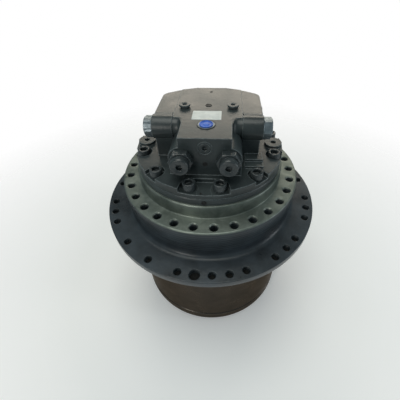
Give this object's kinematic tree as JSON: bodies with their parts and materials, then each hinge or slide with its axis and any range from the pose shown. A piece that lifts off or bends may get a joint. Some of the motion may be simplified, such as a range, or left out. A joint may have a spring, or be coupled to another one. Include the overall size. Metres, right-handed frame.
{
  "type": "excavator final drive",
  "caption": "Track drive: a hydraulic travel motor with its valve block on a fixed spindle, inside a turning hub with a sprocket flange and a planetary gearbox.",
  "frame": {"origin": "centre of the end cover's resting face, on the drive's axis", "axes": "+Z along the drive's axis from the end cover to the motor, -Y towards the relief valves' caps, +X to the right seen from the relief valves"},
  "size_m": [0.495, 0.495, 0.5471],
  "materials": {
    "machined_casting": "machined and oiled",
    "casting_paint": "semi-gloss paint over a rough casting",
    "hub_paint": "semi-gloss paint over a casting",
    "barrel_coat": "dark coat over a turned forging",
    "black_steel": "blackened",
    "blue_plastic": "moulded",
    "bare_steel": "ground",
    "gear_steel": "ground, case-hardened",
    "bronze": "machined bronze",
    "friction_lining": "paper friction lining",
    "seal_rubber": "moulded"
  },
  "bodies": {
    "spindle_group": {"spindle": "machined_casting", "port_cover": "casting_paint", "cover_screw_01": "black_steel", "cover_screw_02": "black_steel", "cover_screw_03": "black_steel", "cover_screw_04": "black_steel", "cover_screw_05": "black_steel", "cover_screw_06": "black_steel", "cover_screw_07": "black_steel", "cover_screw_08": "black_steel", "cover_screw_09": "black_steel", "cover_screw_10": "black_steel", "cover_screw_11": "black_steel", "cover_screw_12": "black_steel", "counterbalance_cap_left": "casting_paint", "counterbalance_cap_right": "casting_paint", "relief_valve_left": "casting_paint", "relief_valve_right": "casting_paint", "top_plug_left": "casting_paint", "top_plug_right": "casting_paint", "front_plug": "casting_paint", "port_cap": "blue_plastic", "valve_plate": "bronze", "swash_plate": "bronze", "shaft_bearing_lower": "bare_steel", "shaft_bearing_upper": "bare_steel", "shaft_seal": "seal_rubber", "upper_bearing_inner_ring": "bare_steel", "lower_bearing_inner_ring": "bare_steel", "bearing_nut": "bare_steel", "seal_ring_fixed": "bare_steel", "output_carrier": "gear_steel", "brake_separator": "bare_steel"},
    "hub_group": {"hub": "hub_paint", "ring_gear": "barrel_coat", "end_cover": "barrel_coat", "fill_plug": "black_steel", "drain_plug": "black_steel", "upper_bearing_outer_ring": "bare_steel", "lower_bearing_outer_ring": "bare_steel", "seal_ring_turning": "bare_steel"},
    "rotor": {"motor_shaft": "gear_steel", "input_sun": "gear_steel", "cylinder_block": "bare_steel", "piston_set": "bare_steel", "brake_disc_lower": "friction_lining", "brake_disc_upper": "friction_lining"},
    "input_carrier_group": {"input_carrier": "gear_steel", "output_sun": "gear_steel"},
    "input_planet_1": {"input_planet_1": "gear_steel"},
    "input_planet_2": {"input_planet_2": "gear_steel"},
    "input_planet_3": {"input_planet_3": "gear_steel"},
    "output_planet_1": {"output_planet_1": "gear_steel"},
    "output_planet_2": {"output_planet_2": "gear_steel"},
    "output_planet_3": {"output_planet_3": "gear_steel"},
    "upper_rollers": {"upper_bearing_rollers": "bare_steel"},
    "lower_rollers": {"lower_bearing_rollers": "bare_steel"},
    "brake_piston": {"brake_piston": "bare_steel"},
    "counterbalance_spool": {"counterbalance_spool": "bare_steel"}
  },
  "joints": [
    {"name": "hub_spin", "type": "hinge", "parent": "spindle_group", "child": "hub_group", "pos_m": [0, 0, 0.3245], "axis": [0, 0, 1], "continuous": true},
    {"name": "input_carrier_spin", "type": "hinge", "parent": "spindle_group", "child": "input_carrier_group", "pos_m": [0, 0, 0.13], "axis": [0, 0, 1], "continuous": true},
    {"name": "rotor_spin", "type": "hinge", "parent": "spindle_group", "child": "rotor", "pos_m": [0, 0, 0.3], "axis": [0, 0, 1], "continuous": true},
    {"name": "upper_rollers_spin", "type": "hinge", "parent": "spindle_group", "child": "upper_rollers", "pos_m": [0, 0, 0.3239], "axis": [0, 0, 1], "continuous": true},
    {"name": "lower_rollers_spin", "type": "hinge", "parent": "spindle_group", "child": "lower_rollers", "pos_m": [0, 0, 0.2779], "axis": [0, 0, 1], "continuous": true},
    {"name": "input_planet_1_spin", "type": "hinge", "parent": "input_carrier_group", "child": "input_planet_1", "pos_m": [0.105, 0, 0.0993], "axis": [0, 0, 1], "continuous": true},
    {"name": "input_planet_2_spin", "type": "hinge", "parent": "input_carrier_group", "child": "input_planet_2", "pos_m": [-0.0525, 0.09093, 0.0993], "axis": [0, 0, 1], "continuous": true},
    {"name": "input_planet_3_spin", "type": "hinge", "parent": "input_carrier_group", "child": "input_planet_3", "pos_m": [-0.0525, -0.09093, 0.0993], "axis": [0, 0, 1], "continuous": true},
    {"name": "output_planet_1_spin", "type": "hinge", "parent": "spindle_group", "child": "output_planet_1", "pos_m": [0.105, 0, 0.1873], "axis": [0, 0, 1], "continuous": true},
    {"name": "output_planet_2_spin", "type": "hinge", "parent": "spindle_group", "child": "output_planet_2", "pos_m": [-0.0525, 0.09093, 0.1873], "axis": [0, 0, 1], "continuous": true},
    {"name": "output_planet_3_spin", "type": "hinge", "parent": "spindle_group", "child": "output_planet_3", "pos_m": [-0.0525, -0.09093, 0.1873], "axis": [0, 0, 1], "continuous": true},
    {"name": "brake_piston_slide", "type": "slide", "parent": "spindle_group", "child": "brake_piston", "axis": [0, 0, 1], "range_m": [0, 0.0025]},
    {"name": "counterbalance_spool_slide", "type": "slide", "parent": "spindle_group", "child": "counterbalance_spool", "axis": [1, 0, 0], "range_m": [-0.008, 0.008]}
  ],
  "couplings": [
    {"joint": "input_carrier_spin", "follows": "hub_spin", "ratio": -4},
    {"joint": "rotor_spin", "follows": "hub_spin", "ratio": -24},
    {"joint": "upper_rollers_spin", "follows": "hub_spin", "ratio": 0.5235},
    {"joint": "lower_rollers_spin", "follows": "hub_spin", "ratio": 0.5235},
    {"joint": "input_planet_1_spin", "follows": "hub_spin", "ratio": 13.333},
    {"joint": "input_planet_2_spin", "follows": "hub_spin", "ratio": 13.333},
    {"joint": "input_planet_3_spin", "follows": "hub_spin", "ratio": 13.333},
    {"joint": "output_planet_1_spin", "follows": "hub_spin", "ratio": 2.6667},
    {"joint": "output_planet_2_spin", "follows": "hub_spin", "ratio": 2.6667},
    {"joint": "output_planet_3_spin", "follows": "hub_spin", "ratio": 2.6667}
  ]
}
